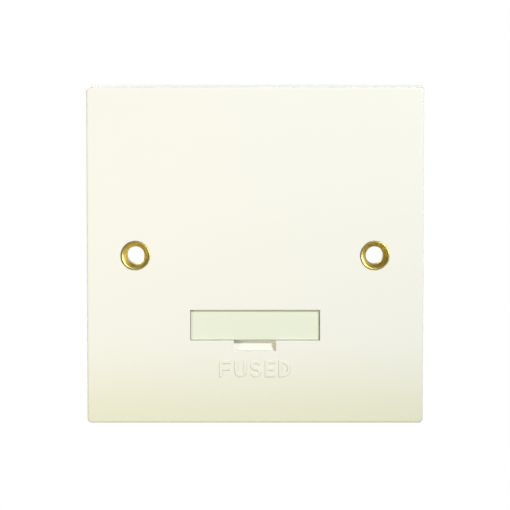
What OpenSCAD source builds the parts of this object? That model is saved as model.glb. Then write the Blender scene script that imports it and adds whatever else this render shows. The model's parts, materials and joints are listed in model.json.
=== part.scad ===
// Unswitched fused spur unit: a square moulded faceplate with a pull-out fuse
// carrier, two eyeleted fixing holes and a rear moulding full of brass terminals.
// X runs to the right and Z up the face. Y runs back into the wall, and y = 0 is
// the wall plane, on the line between the two fixing holes.

/* [Faceplate] */
// Width and height of the square plate at its rear rim
plate_w = 86; // [84:0.5:92]
// Depth of the plate in front of the wall
plate_depth = 8.5; // [8:0.1:11]
// Thickness of the front wall
plate_wall = 2.8; // [2.4:0.1:3.2]
// Thickness of the skirt at the wall
skirt_wall = 2.2; // [1.6:0.1:3]
// How much the skirt leans in on each side
plate_draft = 0.65; // [0.2:0.05:1.2]
// Radius of the rounding round the front face
edge_r = 0.5; // [0.3:0.1:2]
// Radius of the plate's four corners
corner_r = 1; // [0.8:0.1:3]

/* [Fixing holes] */
// Distance between the two fixing holes
fixing_spacing = 60.3; // [59.6:0.1:62]
// Bore of each brass eyelet
eyelet_bore = 4.4; // [4:0.1:4.8]
// Outer diameter of the eyelet's flare in the front face
eyelet_flare = 7.3; // [6.8:0.1:8]
// Wall of the eyelet's tube
eyelet_wall = 0.5; // [0.3:0.05:0.6]

/* [Fuse carrier] */
// Width of the carrier's face
carrier_w = 32.5; // [31.6:0.1:32.6]
// Height of the carrier's face
carrier_h = 7.5; // [6.9:0.1:7.6]
// Gap round the carrier
carrier_gap = 0.1; // [0.1:0.05:0.35]
// How far the carrier's face lies behind the plate's face
carrier_recess = 0.7; // [0.3:0.1:1]
// How far the carrier lies below the fixing holes
carrier_drop = 17.6; // [16.6:0.1:18.2]
// Thickness of the carrier's front bar
carrier_bar = 3; // [2.4:0.1:3.4]
// Width of the prising notch under the carrier
notch_w = 10.6; // [8:0.1:14]
// Height of the prising notch
notch_h = 2.8; // [2:0.1:3.4]
// Depth of the prising notch where it meets the carrier
notch_depth = 2; // [1.2:0.1:2.2]

/* [Raised word] */
// Height of the capitals
letter_h = 4.2; // [3:0.1:5]
// Width of a letter's stroke
letter_stroke = 0.8; // [0.5:0.05:0.9]
// How far the letters stand out of the face
letter_relief = 0.15; // [0.1:0.05:0.5]
// How far the word's middle lies below the carrier's
letter_drop = 11; // [10.6:0.1:14]

/* [Cartridge fuse] */
// Length of the fuse over its caps
fuse_len = 25.4; // [25:0.1:25.8]
// Diameter of the caps
cap_d = 6.35; // [6.2:0.05:6.5]
// Length of each cap
cap_len = 5.6; // [5:0.1:6]
// Diameter of the ceramic barrel
barrel_d = 5.8; // [5.4:0.1:5.9]
// Diameter of the fuse wire
fuse_wire_d = 0.5; // [0.2:0.05:0.8]

/* [Rear moulding] */
// Height of the rear moulding
base_h = 61; // [60:0.5:66]
// Depth of the rear moulding
base_depth = 18.6; // [17:0.1:24]
// Thickness of its outer walls
base_wall = 1.8; // [1.2:0.1:1.9]
// Thickness of its floor
base_floor = 2.2; // [1.6:0.1:3]
// Width at the waist, where a wall box has its fixing lugs
waist_w = 47; // [46.6:0.2:50]
// Thickness of the partitions between the terminals
rib_wall = 1.4; // [1:0.1:1.8]

/* [Terminals] */
// Width of a terminal block
block_w = 7.2; // [6.6:0.1:7.4]
// Length of a terminal block along the wire
block_l = 11; // [9:0.1:11.6]
// Height of the line terminal block
block_h = 10.4; // [10:0.1:11.2]
// Distance between the upper terminals
pitch = 11.65; // [11.5:0.05:12.4]
// Bore for the wires
wire_bore = 4; // [3.6:0.1:4.4]
// Diameter of the clamping screw's shank
screw_d = 3.5; // [3.3:0.1:3.9]
// Diameter of the clamping screw's head
head_d = 5.8; // [5.2:0.1:6.6]
// Height of the clamping screw's head
head_h = 2.1; // [1.6:0.1:2.6]
// Thickness of the brass and bronze strips
strip_t = 0.8; // [0.6:0.05:0.9]

/* [Hidden] */
$fn = 48;

// Overrun of every cut, and the thickness of a hull's slices
over = 0.5;
slice = 0.02;
// Clearances: a screw in its thread, seated pieces, blocks in their cells, loose pieces
run_fit = 0.05;
seat_gap = 0.1;
block_gap = 0.2;
slip_gap = 0.3;
// Facets of a hull's corners, and steps of the rounding along the plate's edge
corner_fn = 48;
edge_steps = 6;

// Stations along Y, from the plate's face back to the rear moulding
y_face = -plate_depth;
y_inner = y_face + plate_wall;
boss_h = 1.7;
y_strap = y_inner + boss_h;
y_base = y_strap + strip_t + seat_gap;
y_floor = y_base + base_floor;
y_rear = y_base + base_depth;
y_block = y_floor + block_h;
bore_cover = 1.9;
y_wire = y_floor + bore_cover + wire_bore / 2;
y_stop = y_floor + bore_cover - seat_gap;

// Fixing bosses and eyelets
fix_x = fixing_spacing / 2;
tube_r = eyelet_bore / 2 + eyelet_wall;
boss_wall = 2.2;
boss_r = tube_r + boss_wall;
flare_depth = 1.7;
flare_proud = 0.12;
rolled_h = 0.5;
rolled_w = 0.8;

// The carrier's place and its way in
carrier_z = -carrier_drop;
open_w = carrier_w + 2 * carrier_gap;
open_h = carrier_h + 2 * carrier_gap;
collar_wall = 1.3;
y_carrier = y_face + carrier_recess;
y_bar = y_carrier + carrier_bar;

// Shape of the notch: its flat floor, and a knee where the ramp meets the face
notch_floor_share = 0.34;
notch_ramp_share = 0.9;
notch_knee_share = 0.45;

// The fuse and its clips
barrel_wall = 1.1;
cap_end = 0.5;
clip_float = 2;
jaw_t = 0.6;
jaw_gap = 0.1;
clip_w = 4.6;
clip_lead = 2.4;
lip_l = 1.3;
lip_w = 0.8;
y_fuse = y_block - clip_float - cap_d / 2;
cap_mid = fuse_len / 2 - cap_len / 2;
jaw_z = cap_d / 2 + jaw_gap;
tail_w = 5.6;

// Carrier body behind its bar
cheek_gap = 0.3;
cheek_x = fuse_len / 2 + cheek_gap;
y_cheek = y_block - slip_gap - seat_gap;
saddle_clear = 1.1;
saddle_w = fuse_len - 2 * cap_len - 2 * saddle_clear;
saddle_fit = 0.05;
saddle_grip = 1.2;
pry_w = notch_w + 2 * seat_gap;
pry_lip = 1.2;
pry_l = 1.3;
pry_depth = 1;

// Fuse well in the rear moulding
well_x = open_w / 2;
jaw_room = 0.5;
well_z = jaw_z + jaw_t + lip_w + jaw_room;
y_cover = y_block + strip_t + clip_float / 2;
cover_t = 1.6;
hook_w = 6;
hook_t = 1;
hook_drop = 4;
hook_nib = 0.4;
hook_l = 1.2;
cover_rib = 1.1;

// Terminals: the line pair beside the fuse well, the others in a row above
line_x = well_x + rib_wall + block_gap + block_w / 2;
inner_x = pitch / 2;
outer_x = pitch + pitch / 2;
block_chamfer = 0.4;
tip_gap = 0.1;
wire_left = 1;
screw_travel = wire_bore - wire_left + tip_gap;
y_tip = y_wire + wire_bore / 2 + tip_gap;
shank_l = y_block + strip_t + seat_gap - (y_tip - screw_travel);
slot_w = 1;
slot_depth = 1.1;
small_chamfer = 0.3;

// Earth strap and neutral link
strap_w = 9;
arm_w = 7;
link_w = 6;
window_gap = 0.3;

// Wire notches in the outer walls
notch_room = 0.7;
notch_wire_w = wire_bore + 2 * notch_room;
y_notch = y_floor + bore_cover / 2;

// Screws that hold the rear moulding to the faceplate
tower_r = (pitch - wire_bore) / 2 - seat_gap - slip_gap;
tower_wall = 1.1;
tower_web = 2;
post_gap = 0.15;
post_r = tower_r - tower_wall - post_gap;
post_h = 6.9;
fix_screw_r = 1.25;
fix_head_r = 2.5;
fix_head_h = 1.5;
fix_screw_l = 8.5;
cross_share = 0.65;
y_post = y_inner + post_h;
low_screw_x = 9;

// Lower and upper edge of the rear moulding, from the line between the fixing holes
low_gap = 0.175;
base_low = carrier_drop + well_z + rib_wall / 2 + 2 * tower_r + low_gap;
base_top = base_h - base_low;
high_screw_z = base_top - tower_r;
low_screw_z = tower_r - base_low;
BASE_SCREWS = [
    [-pitch, high_screw_z], [pitch, high_screw_z],
    [-low_screw_x, low_screw_z], [low_screw_x, low_screw_z]];
cross_l = fix_head_r * cross_share;

// Place of the upper row, under its towers, and the moulding's width and waist
row_z = base_top - 2 * tower_r - seat_gap - block_l / 2;
row_rest = row_z - block_l / 2;
base_w = 2 * (line_x + block_w / 2 + block_gap + base_wall);
waist_step = (base_w - waist_w) / 2;
waist_half = carrier_drop - block_l / 2 - waist_step - base_wall - slip_gap;
lug_gap = 2.5;
lug_r = tube_r + rolled_w + lug_gap;

// Width of each letter as a share of its height, and the space between letters
LETTER_SHARES = [0.69, 0.73, 0.65, 0.6, 0.73];
letter_space_share = 0.225;
arc_steps = 10;
// Angle at which the ends of the S stop
s_end = 20;

// Colours
CREAM = [0.97, 0.95, 0.86];
CARRIER_CREAM = [0.94, 0.93, 0.84];
REAR_CREAM = [0.9, 0.88, 0.8];
BRASS = [0.8, 0.65, 0.3];
BRONZE = [0.75, 0.52, 0.32];
STEEL = [0.74, 0.74, 0.72];
CERAMIC = [0.93, 0.92, 0.88];
SAND = [0.85, 0.8, 0.68];

// Shared builders

// A box between two corners.
module block_between(low, high) {
    translate(low) cube(high - low);
}

// An outline drawn in X and Z, carried along Y from y0 to y1.
module along_y(y0, y1) {
    translate([0, y1, 0]) rotate([90, 0, 0]) linear_extrude(height = y1 - y0) children();
}

// An outline drawn in Y and Z, carried along X from x0 to x1.
module along_x(x0, x1) {
    translate([x0, 0, 0]) rotate([90, 0, 90]) linear_extrude(height = x1 - x0) children();
}

// A cylinder along Y between y0 and y1, centred on x and z.
module rod_y(x, z, y0, y1, r) {
    translate([x, y0, z]) rotate([-90, 0, 0]) cylinder(r = r, h = y1 - y0);
}

// A turned piece round Y: the outline's first number is a radius, its second is y.
module turned_y(x, z) {
    translate([x, 0, z]) rotate([-90, 0, 0]) rotate_extrude() children();
}

module rounded_square(half, r) {
    square([2 * half, 2 * (half - r)], center = true);
    square([2 * (half - r), 2 * half], center = true);
    for (sx = [-1, 1]) {
        for (sz = [-1, 1]) {
            translate([sx * (half - r), sz * (half - r)]) circle(r = r, $fn = corner_fn);
        }
    }
}

// Faceplate

// Points round a stroke's arc of outer radius r, from angle a to angle b.
function arc_points(r, a, b) = [for (i = [0:arc_steps])
    let (t = a + (b - a) * i / arc_steps) [r * cos(t), r * sin(t)]];

module arc_stroke(r, a, b) {
    polygon(concat(arc_points(r, a, b), arc_points(r - letter_stroke, b, a)));
}

module bar(x0, z0, x1, z1) {
    translate([x0, z0]) square([x1 - x0, z1 - z0]);
}

module letter_f(w) {
    bar(0, 0, letter_stroke, letter_h);
    bar(0, letter_h - letter_stroke, w, letter_h);
    bar(0, (letter_h - letter_stroke) / 2, w - letter_stroke / 2, (letter_h + letter_stroke) / 2);
}

module letter_u(w) {
    r = w / 2;
    bar(0, r, letter_stroke, letter_h);
    bar(w - letter_stroke, r, w, letter_h);
    translate([r, r]) arc_stroke(r, 180, 360);
}

module letter_s(w) {
    r = (letter_h + letter_stroke) / 4;
    mid = (letter_h - letter_stroke) / 2;
    translate([r, letter_h - r]) arc_stroke(r, 90, 270);
    translate([w - r, letter_h - r]) arc_stroke(r, s_end, 90);
    translate([w - r, r]) arc_stroke(r, -90, 90);
    translate([r, r]) arc_stroke(r, 180 + s_end, 270);
    bar(r, letter_h - letter_stroke, w - r, letter_h);
    bar(r, mid, w - r, mid + letter_stroke);
    bar(r, 0, w - r, letter_stroke);
}

module letter_e(w) {
    letter_f(w);
    bar(0, 0, w, letter_stroke);
}

module letter_d(w) {
    r = letter_h / 2;
    bar(0, 0, letter_stroke, letter_h);
    bar(0, 0, w - r, letter_stroke);
    bar(0, letter_h - letter_stroke, w - r, letter_h);
    translate([w - r, r]) arc_stroke(r, -90, 90);
}

function letter_start(i) = i == 0 ? 0
    : letter_start(i - 1) + (LETTER_SHARES[i - 1] + letter_space_share) * letter_h;
word_w = letter_start(len(LETTER_SHARES) - 1) + LETTER_SHARES[len(LETTER_SHARES) - 1] * letter_h;

module word_outline() {
    translate([-word_w / 2, carrier_z - letter_drop - letter_h / 2]) {
        translate([letter_start(0), 0]) letter_f(LETTER_SHARES[0] * letter_h);
        translate([letter_start(1), 0]) letter_u(LETTER_SHARES[1] * letter_h);
        translate([letter_start(2), 0]) letter_s(LETTER_SHARES[2] * letter_h);
        translate([letter_start(3), 0]) letter_e(LETTER_SHARES[3] * letter_h);
        translate([letter_start(4), 0]) letter_d(LETTER_SHARES[4] * letter_h);
    }
}

// The plate's outer form: a drafted skirt with a rounded edge round the face.
module plate_form() {
    half = plate_w / 2;
    hull() {
        along_y(-slice, 0) rounded_square(half, corner_r);
        for (i = [0:edge_steps]) {
            a = 90 * i / edge_steps;
            y = y_face + edge_r * (1 - sin(a));
            inset = plate_draft + edge_r * (1 - cos(a));
            along_y(y, y + slice) rounded_square(half - inset, corner_r);
        }
    }
}

module plate_hollow() {
    half = plate_w / 2 - skirt_wall;
    hull() {
        along_y(over - slice, over) rounded_square(half, corner_r);
        along_y(y_inner, y_inner + slice) rounded_square(half - plate_draft, corner_r);
    }
}

// The scooped ramp that lets a screwdriver in under the carrier.
module pry_notch() {
    top = carrier_z - open_h / 2;
    along_x(-notch_w / 2, notch_w / 2)
        polygon([
            [y_face - over, top + over],
            [y_face + notch_depth, top + over],
            [y_face + notch_depth, top - notch_h * notch_floor_share],
            [y_face + notch_depth * notch_knee_share, top - notch_h * notch_ramp_share],
            [y_face, top - notch_h],
            [y_face - over, top - notch_h]]);
}

// Ribs that stiffen the plate's back between the bosses and the skirt.
module plate_ribs() {
    reach = plate_w / 2 - skirt_wall;
    for (side = [-1, 1]) {
        x0 = side > 0 ? fix_x + boss_r - seat_gap : -reach;
        x1 = side > 0 ? reach : -fix_x - boss_r + seat_gap;
        block_between([x0, y_inner - over, -rib_wall / 2], [x1, y_strap, rib_wall / 2]);
        for (updown = [-1, 1]) {
            z0 = updown > 0 ? boss_r - seat_gap : -reach;
            z1 = updown > 0 ? reach : -boss_r + seat_gap;
            block_between(
                [side * fix_x - rib_wall / 2, y_inner - over, z0],
                [side * fix_x + rib_wall / 2, y_inner + boss_h / 2, z1]);
        }
    }
}

module faceplate() {
    color(CREAM)
        difference() {
            union() {
                difference() {
                    plate_form();
                    plate_hollow();
                }
                along_y(y_face - letter_relief, y_face + over) word_outline();
                plate_ribs();
                for (side = [-1, 1]) {
                    rod_y(side * fix_x, 0, y_inner - over, y_strap, boss_r);
                }
                // Rail that carries the strap across the middle
                block_between(
                    [-fix_x, y_inner - over, -rib_wall / 2],
                    [fix_x, y_strap, rib_wall / 2]);
                // Collar that guides the carrier back to the rear moulding
                block_between(
                    [-open_w / 2 - collar_wall, y_inner - over, carrier_z - open_h / 2 - collar_wall],
                    [open_w / 2 + collar_wall, y_base, carrier_z + open_h / 2 + collar_wall]);
                // Posts that take the rear moulding's screws
                for (p = BASE_SCREWS) {
                    rod_y(p[0], p[1], y_inner - over, y_post, post_r);
                }
            }
            block_between(
                [-open_w / 2, y_face - over, carrier_z - open_h / 2],
                [open_w / 2, y_base + over, carrier_z + open_h / 2]);
            pry_notch();
            for (side = [-1, 1]) {
                rod_y(side * fix_x, 0, y_face - over, y_strap + over, tube_r + seat_gap / 2);
                // Seat of the eyelet's flare
                turned_y(side * fix_x, 0)
                    polygon([
                        [0, y_face - over],
                        [eyelet_flare / 2 + seat_gap, y_face - over],
                        [eyelet_flare / 2 + seat_gap, y_face],
                        [tube_r + seat_gap, y_face + flare_depth + eyelet_wall],
                        [0, y_face + flare_depth + eyelet_wall]]);
            }
            for (p = BASE_SCREWS) {
                rod_y(p[0], p[1], y_post - fix_screw_l, y_post + over, fix_screw_r + run_fit);
            }
        }
}

// Eyelets: brass tubes with a countersunk flare in front, rolled over the strap behind.
module eyelet(x) {
    r = eyelet_bore / 2;
    rear = y_strap + strip_t;
    color(BRASS)
        turned_y(x, 0)
            polygon([
                [r, y_face + flare_depth],
                [eyelet_flare / 2 - eyelet_wall, y_face - flare_proud],
                [eyelet_flare / 2 - eyelet_wall / 2, y_face - flare_proud * 2],
                [eyelet_flare / 2, y_face - flare_proud],
                [eyelet_flare / 2, y_face],
                [tube_r, y_face + flare_depth + eyelet_wall / 2],
                [tube_r, rear],
                [tube_r + rolled_w, rear],
                [tube_r + rolled_w, rear + rolled_h / 2],
                [tube_r, rear + rolled_h],
                [r, rear + rolled_h]]);
}

module left_eyelet() {
    eyelet(-fix_x);
}

module right_eyelet() {
    eyelet(fix_x);
}

// Earth strap: a bar between the eyelets with two arms up to the earth terminals.
module earth_strap() {
    end_r = strap_w / 2;
    arm_x = outer_x;
    arm_top = row_z + block_l / 2;
    color(BRASS)
        along_y(y_strap, y_strap + strip_t)
            difference() {
                union() {
                    bar(-fix_x, -end_r, fix_x, end_r);
                    for (side = [-1, 1]) {
                        translate([side * fix_x, 0]) circle(r = end_r);
                        bar(side * arm_x - arm_w / 2, 0, side * arm_x + arm_w / 2, arm_top);
                    }
                }
                for (side = [-1, 1]) {
                    translate([side * fix_x, 0]) circle(r = tube_r + seat_gap / 2);
                }
            }
}

// Terminal blocks: a chamfered brass bar, cross-drilled for the wires and the screw.
module terminal_block(x, z, y_seat) {
    w = block_w / 2;
    c = block_chamfer;
    color(BRASS)
        difference() {
            translate([x, 0, z - block_l / 2])
                linear_extrude(height = block_l)
                    polygon([
                        [-w, y_seat + c], [-w + c, y_seat], [w - c, y_seat], [w, y_seat + c],
                        [w, y_block - c], [w - c, y_block], [-w + c, y_block], [-w, y_block - c]]);
            translate([x, y_wire, z - block_l / 2 - over]) cylinder(d = wire_bore, h = block_l + 2 * over);
            rod_y(x, z, y_wire, y_block + over, screw_d / 2 + run_fit);
        }
}

module left_earth_terminal() {
    terminal_block(-outer_x, row_z, y_strap + strip_t);
}

module right_earth_terminal() {
    terminal_block(outer_x, row_z, y_strap + strip_t);
}

module neutral_feed_terminal() {
    terminal_block(-inner_x, row_z, y_floor + strip_t);
}

module neutral_load_terminal() {
    terminal_block(inner_x, row_z, y_floor + strip_t);
}

module line_feed_terminal() {
    terminal_block(-line_x, carrier_z, y_floor);
}

module line_load_terminal() {
    terminal_block(line_x, carrier_z, y_floor);
}

// Neutral link: the strip that both neutral blocks are riveted to.
module neutral_link() {
    reach = inner_x + block_w / 2;
    color(BRASS)
        block_between(
            [-reach, y_floor, row_z - link_w / 2],
            [reach, y_floor + strip_t, row_z + link_w / 2]);
}

// Clamping screws, drawn backed out as they are supplied.
module clamp_screw(x, z) {
    r = screw_d / 2;
    y_head = y_tip + shank_l;
    c = small_chamfer;
    color(BRASS)
        difference() {
            turned_y(x, z)
                polygon([
                    [0, y_tip], [r - c, y_tip], [r, y_tip + c], [r, y_head],
                    [head_d / 2, y_head], [head_d / 2, y_head + head_h - c],
                    [head_d / 2 - c, y_head + head_h], [0, y_head + head_h]]);
            block_between(
                [x - head_d, y_head + head_h - slot_depth, z - slot_w / 2],
                [x + head_d, y_head + head_h + over, z + slot_w / 2]);
        }
}

module left_earth_screw() {
    clamp_screw(-outer_x, row_z);
}

module right_earth_screw() {
    clamp_screw(outer_x, row_z);
}

module neutral_feed_screw() {
    clamp_screw(-inner_x, row_z);
}

module neutral_load_screw() {
    clamp_screw(inner_x, row_z);
}

module line_feed_screw() {
    clamp_screw(-line_x, carrier_z);
}

module line_load_screw() {
    clamp_screw(line_x, carrier_z);
}

// Fuse clips: a folded bronze strip with two jaws round a cap and a tail to its block.
module jaw_outline() {
    lead = y_fuse - clip_lead;
    for (updown = [-1, 1]) {
        mirror([0, updown > 0 ? 0 : 1])
            polygon([
                [y_block + strip_t, 0], [y_block, 0], [y_block, jaw_z], [lead, jaw_z],
                [lead - lip_l, jaw_z + lip_w], [lead - lip_l, jaw_z + lip_w + jaw_t],
                [lead, jaw_z + jaw_t], [y_block + strip_t, jaw_z + jaw_t]]);
    }
}

module fuse_clip(side) {
    near = cap_mid - clip_w / 2;
    far = line_x + block_w / 2;
    color(BRONZE)
        difference() {
            union() {
                translate([0, 0, carrier_z])
                    along_x(side > 0 ? near : -near - clip_w, side > 0 ? near + clip_w : -near)
                        jaw_outline();
                block_between(
                    [min(side * near, side * far), y_block, carrier_z - tail_w / 2],
                    [max(side * near, side * far), y_block + strip_t, carrier_z + tail_w / 2]);
            }
            rod_y(side * line_x, carrier_z, y_block - over, y_block + strip_t + over, screw_d / 2 + slip_gap);
        }
}

module line_feed_clip() {
    fuse_clip(-1);
}

module line_load_clip() {
    fuse_clip(1);
}

// Rear moulding: a tray of cells, open behind, with the fuse well in its lower half.

// Outline with a waist that clears the fixing lugs of a wall box.
module base_outline(inset) {
    x = base_w / 2 - inset;
    top = base_top - inset;
    low = inset - base_low;
    wx = waist_w / 2 - inset;
    wz = waist_half + inset;
    sz = wz + waist_step;
    polygon([
        [x, low], [x, -sz], [wx, -wz], [wx, wz], [x, sz], [x, top],
        [-x, top], [-x, sz], [-wx, wz], [-wx, -wz], [-x, -sz], [-x, low]]);
}

module base_solid() {
    x_stop = waist_w / 2 - base_wall / 2;
    difference() {
        along_y(y_base, y_rear) base_outline(0);
        along_y(y_floor, y_rear + over) base_outline(base_wall);
    }
    // Partitions between the upper terminals
    for (i = [-1:1]) {
        block_between(
            [i * pitch - rib_wall / 2, y_floor - over, row_rest - rib_wall],
            [i * pitch + rib_wall / 2, y_rear, base_top - base_wall / 2]);
    }
    // Low wall that the upper blocks stop against
    block_between(
        [-x_stop, y_floor - over, row_rest - seat_gap - rib_wall],
        [x_stop, y_stop, row_rest - seat_gap]);
    // Low walls that the line blocks stop against
    for (side = [-1, 1]) {
        block_between(
            [min(side * well_x, side * x_stop), y_floor - over, carrier_z + block_l / 2 + seat_gap],
            [max(side * well_x, side * x_stop), y_stop, carrier_z + block_l / 2 + seat_gap + rib_wall]);
    }
    // Walls of the fuse well
    block_between(
        [-well_x - rib_wall, y_floor - over, carrier_z - well_z - rib_wall],
        [well_x + rib_wall, y_cover, carrier_z + well_z + rib_wall]);
    // Towers over the faceplate's posts
    for (p = BASE_SCREWS) {
        rod_y(p[0], p[1], y_floor - over, y_post + tower_web, tower_r);
    }
}

module rear_base() {
    color(REAR_CREAM)
        difference() {
            base_solid();
            // The way in for the carrier, and the well behind it
            block_between(
                [-well_x, y_base - over, carrier_z - open_h / 2],
                [well_x, y_cover + over, carrier_z + open_h / 2]);
            block_between(
                [-well_x, y_floor, carrier_z - well_z],
                [well_x, y_cover + over, carrier_z + well_z]);
            // Slots for the clips' tails
            block_between(
                [-well_x - rib_wall - over, y_block - seat_gap, carrier_z - tail_w / 2 - seat_gap],
                [well_x + rib_wall + over, y_cover + over, carrier_z + tail_w / 2 + seat_gap]);
            // Catches for the cover's hooks
            for (updown = [-1, 1]) {
                zc = carrier_z + updown * (well_z + rib_wall);
                block_between(
                    [-hook_w / 2 - seat_gap, y_cover - hook_drop, zc - hook_nib - seat_gap],
                    [hook_w / 2 + seat_gap, y_cover - hook_drop + hook_l, zc + hook_nib + seat_gap]);
            }
            // Windows for the earth blocks
            for (side = [-1, 1]) {
                block_between(
                    [side * outer_x - block_w / 2 - window_gap, y_base - over,
                        row_z - block_l / 2 - seat_gap],
                    [side * outer_x + block_w / 2 + window_gap, y_floor + over,
                        row_z + block_l / 2 + window_gap]);
            }
            // Slot for the neutral link under the middle partition
            block_between(
                [-rib_wall, y_floor, row_z - link_w / 2 - seat_gap],
                [rib_wall, y_floor + strip_t + seat_gap, row_z + link_w / 2 + seat_gap]);
            // Wire notches above and below
            for (x = [-outer_x, -inner_x, inner_x, outer_x]) {
                block_between(
                    [x - notch_wire_w / 2, y_notch, base_top - base_wall - over],
                    [x + notch_wire_w / 2, y_rear + over, base_top + over]);
            }
            for (side = [-1, 1]) {
                block_between(
                    [side * line_x - notch_wire_w / 2, y_notch, -base_low - over],
                    [side * line_x + notch_wire_w / 2, y_rear + over, base_wall + over - base_low]);
            }
            // Room round each fixing hole for the wall box's lugs
            for (side = [-1, 1]) {
                rod_y(side * fix_x, 0, y_base - over, y_rear + over, lug_r);
            }
            // Sockets over the posts, and the holes for their screws
            for (p = BASE_SCREWS) {
                rod_y(p[0], p[1], y_base - over, y_post + seat_gap, post_r + post_gap);
                rod_y(p[0], p[1], y_post, y_post + tower_web + over, fix_screw_r + slip_gap);
                rod_y(p[0], p[1], y_post + tower_web, y_rear + over, fix_head_r + slip_gap);
            }
        }
}

// Screws through the rear moulding into the faceplate's posts.
module base_screws() {
    seat = y_post + tower_web;
    c = small_chamfer;
    color(STEEL)
        for (p = BASE_SCREWS) {
            difference() {
                turned_y(p[0], p[1])
                    polygon([
                        [0, seat - fix_screw_l], [fix_screw_r, seat - fix_screw_l + fix_screw_r],
                        [fix_screw_r, seat], [fix_head_r, seat],
                        [fix_head_r, seat + fix_head_h - c * 2],
                        [fix_head_r - c * 2, seat + fix_head_h], [0, seat + fix_head_h]]);
                block_between(
                    [p[0] - slot_w / 2, seat + fix_head_h / 2, p[1] - cross_l],
                    [p[0] + slot_w / 2, seat + fix_head_h + over, p[1] + cross_l]);
                block_between(
                    [p[0] - cross_l, seat + fix_head_h / 2, p[1] - slot_w / 2],
                    [p[0] + cross_l, seat + fix_head_h + over, p[1] + slot_w / 2]);
            }
        }
}

// Cover that closes the fuse well from behind, held by two hooks.
module hook_outline() {
    z0 = well_z + rib_wall + seat_gap;
    tip = y_cover - hook_drop;
    for (updown = [-1, 1]) {
        mirror([0, updown > 0 ? 0 : 1])
            polygon([
                [y_cover + cover_t, z0], [y_cover + cover_t, z0 + hook_t],
                [tip - hook_l / 2, z0 + hook_t], [tip - hook_l / 2, z0],
                [tip + seat_gap, z0], [tip + seat_gap, z0 - hook_nib],
                [tip + hook_l - seat_gap, z0 - hook_nib], [tip + hook_l - seat_gap, z0]]);
    }
}

module fuse_cover() {
    reach_x = well_x + rib_wall;
    reach_z = well_z + rib_wall + seat_gap * 2;
    rib_in = well_z - seat_gap - cover_rib;
    color(REAR_CREAM)
        translate([0, 0, carrier_z]) {
            block_between([-reach_x, y_cover, -reach_z], [reach_x, y_cover + cover_t, reach_z]);
            along_x(-hook_w / 2, hook_w / 2) hook_outline();
            for (updown = [-1, 1]) {
                z0 = updown > 0 ? rib_in : -rib_in - cover_rib;
                block_between(
                    [-saddle_w / 2, y_cover - cover_t, z0],
                    [saddle_w / 2, y_cover + over, z0 + cover_rib]);
            }
        }
}

// Fuse carrier: a bar with a saddle and two cheeks that hold the fuse from in front.
module fuse_carrier() {
    half = carrier_h / 2;
    color(CARRIER_CREAM)
        difference() {
            union() {
                block_between([-carrier_w / 2, y_carrier, -half], [carrier_w / 2, y_bar, half]);
                block_between([-saddle_w / 2, y_bar - over, -half],
                    [saddle_w / 2, y_fuse + saddle_grip, half]);
                for (side = [-1, 1]) {
                    block_between(
                        [min(side * cheek_x, side * carrier_w / 2), y_bar - over, -half],
                        [max(side * cheek_x, side * carrier_w / 2), y_cheek, half]);
                }
            }
            translate([-cheek_x, y_fuse, 0]) rotate([0, 90, 0])
                cylinder(r = barrel_d / 2 + saddle_fit, h = 2 * cheek_x);
            // Pocket behind the lip, for the blade of a screwdriver
            block_between(
                [-pry_w / 2, y_carrier + pry_lip, -half - over],
                [pry_w / 2, y_carrier + pry_lip + pry_l, -half + pry_depth]);
        }
}

// Cartridge fuse: ceramic barrel, two caps, the wire and its filling.
module rod_x(x0, x1, r) {
    translate([x0, y_fuse, carrier_z]) rotate([0, 90, 0]) cylinder(r = r, h = x1 - x0);
}

module fuse_barrel() {
    reach = fuse_len / 2 - cap_end;
    color(CERAMIC)
        difference() {
            rod_x(-reach, reach, barrel_d / 2);
            rod_x(-reach - over, reach + over, barrel_d / 2 - barrel_wall);
        }
}

module fuse_cap(side) {
    x_out = fuse_len / 2;
    x_in = x_out - cap_len;
    x_floor = x_out - cap_end;
    color(STEEL)
        difference() {
            rod_x(min(side * x_in, side * x_out), max(side * x_in, side * x_out), cap_d / 2);
            rod_x(side > 0 ? x_in - over : -x_floor, side > 0 ? x_floor : over - x_in, barrel_d / 2);
        }
}

module fuse_left_cap() {
    fuse_cap(-1);
}

module fuse_right_cap() {
    fuse_cap(1);
}

module fuse_wire() {
    reach = fuse_len / 2 - cap_end;
    color(STEEL) rod_x(-reach, reach, fuse_wire_d / 2);
}

module fuse_filling() {
    reach = fuse_len / 2 - cap_end;
    color(SAND)
        difference() {
            rod_x(-reach, reach, barrel_d / 2 - barrel_wall);
            rod_x(-reach - over, reach + over, fuse_wire_d / 2);
        }
}

faceplate();
left_eyelet();
right_eyelet();
earth_strap();
left_earth_terminal();
right_earth_terminal();
rear_base();
base_screws();
neutral_link();
neutral_feed_terminal();
neutral_load_terminal();
line_feed_terminal();
line_load_terminal();
line_feed_clip();
line_load_clip();
fuse_cover();
translate([0, 0, carrier_z]) fuse_carrier();
fuse_barrel();
fuse_left_cap();
fuse_right_cap();
fuse_wire();
fuse_filling();
left_earth_screw();
right_earth_screw();
neutral_feed_screw();
neutral_load_screw();
line_feed_screw();
line_load_screw();
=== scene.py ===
# %% [markdown]
# # A fused spur unit, dressed for its portrait
#
# The solids of this unit were drawn in a CAD program. Here they get what a CAD
# program can't give: the gloss of moulded urea, worn and tarnished brass, screw
# threads, and light. Each step starts with a note like this one, on what the real
# piece is and why it is made this way in Blender.
#
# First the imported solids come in. They are the fixed frame: 1 unit is 1 metre,
# the face looks along -Y, Z is up, and y = 0 is the wall.

# %% Load the solids
import json
import math

import bmesh
import bpy
from mathutils import Matrix, Vector

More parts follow.
